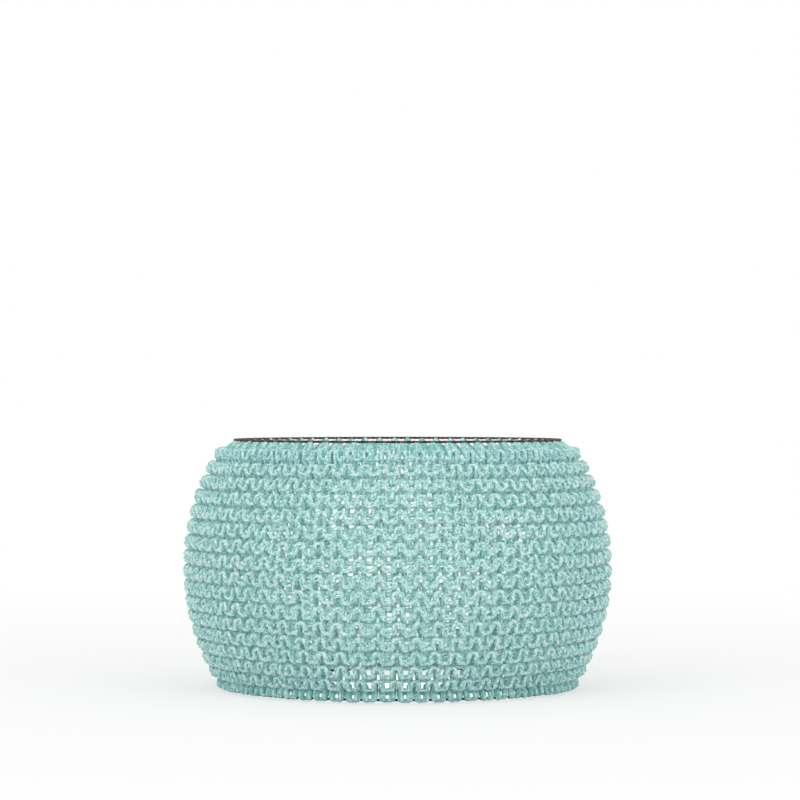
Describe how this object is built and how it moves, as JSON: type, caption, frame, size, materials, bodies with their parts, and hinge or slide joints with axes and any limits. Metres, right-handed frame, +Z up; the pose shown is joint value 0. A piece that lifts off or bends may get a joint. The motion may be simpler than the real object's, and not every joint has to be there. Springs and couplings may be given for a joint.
{
  "type": "bulb cover sleeve",
  "caption": "Barrel-shaped knitted tube, open at both ends with a thin cord along each rim, pulled over a round lamp bulb to soften its light.",
  "frame": {"origin": "middle of the lower rim, on the plane it stands on", "axes": "+Z up along the axis of the tube, +X and +Y across it"},
  "size_m": [0.1406, 0.1406, 0.0815],
  "materials": {
    "turquoise_yarn": "matt knitted yarn",
    "brown_cord": "matt twisted cord"
  },
  "bodies": {
    "root": {"knitted_sleeve": "turquoise_yarn", "upper_edge_cord": "brown_cord", "lower_edge_cord": "brown_cord"}
  },
  "joints": []
}
